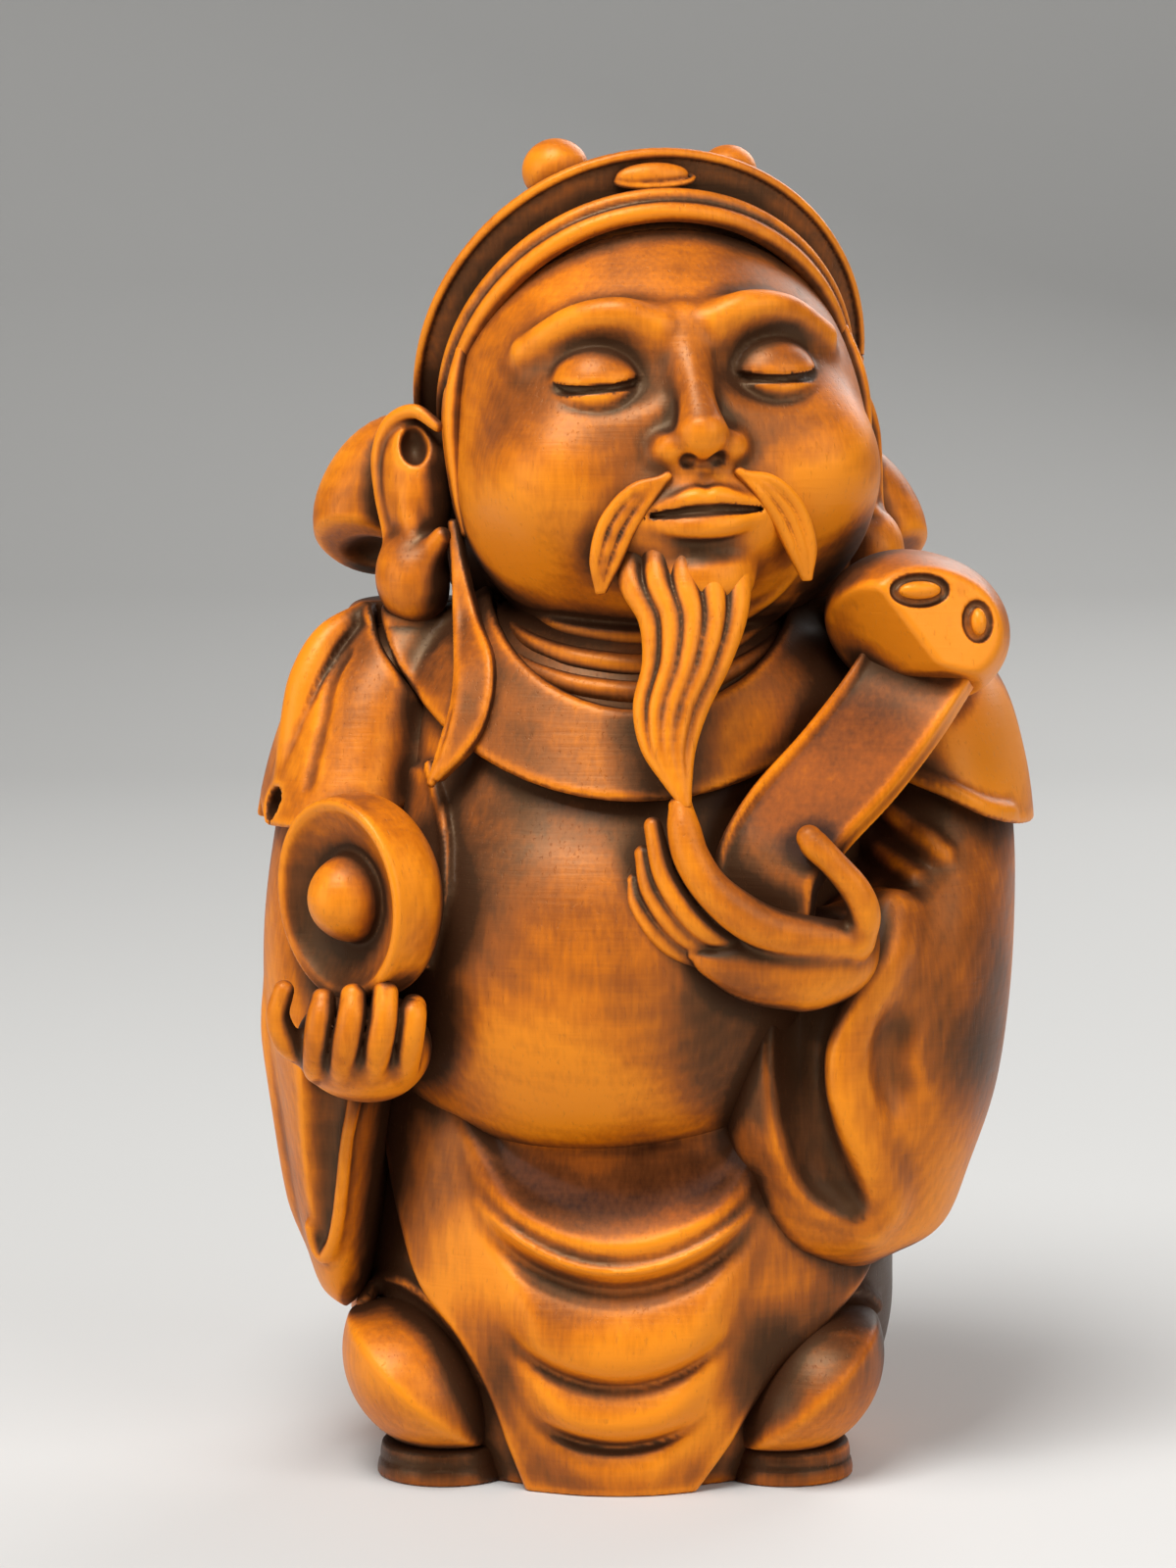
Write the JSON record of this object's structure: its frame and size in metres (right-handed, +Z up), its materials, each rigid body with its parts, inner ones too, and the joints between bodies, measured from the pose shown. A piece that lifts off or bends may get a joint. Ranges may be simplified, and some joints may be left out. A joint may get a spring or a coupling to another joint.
{
  "type": "carved boxwood figure",
  "caption": "Palm-size carved boxwood figure of a bearded man in a robe and hat, holding an ingot and a cloud-headed sceptre, standing on a flat base.",
  "frame": {"origin": "middle of the flat base, on the surface the figure stands on", "axes": "+Z up, the figure faces -Y, +X to the figure's left"},
  "size_m": [0.0532, 0.0437, 0.0901],
  "materials": {
    "boxwood": "hand-waxed satin, honey amber with dark stain left in the cuts"
  },
  "bodies": {
    "root": {"skirt": "boxwood", "apron": "boxwood", "right_shoe": "boxwood", "left_shoe": "boxwood", "right_sole": "boxwood", "left_sole": "boxwood", "torso": "boxwood", "robe_back": "boxwood", "collar": "boxwood", "right_cape": "boxwood", "left_cape": "boxwood", "right_sleeve": "boxwood", "left_sleeve": "boxwood", "right_hand": "boxwood", "left_hand": "boxwood", "ingot": "boxwood", "sceptre_handle": "boxwood", "sceptre_head": "boxwood", "sceptre_scrolls": "boxwood", "head": "boxwood", "right_ear": "boxwood", "left_ear": "boxwood", "beard": "boxwood", "moustaches": "boxwood", "sideburns": "boxwood", "hat_crown": "boxwood", "hat_band": "boxwood", "hat_brim": "boxwood", "hat_jewel": "boxwood", "hat_knobs": "boxwood", "right_wing": "boxwood", "left_wing": "boxwood", "right_ribbon": "boxwood", "left_ribbon": "boxwood"}
  },
  "joints": []
}
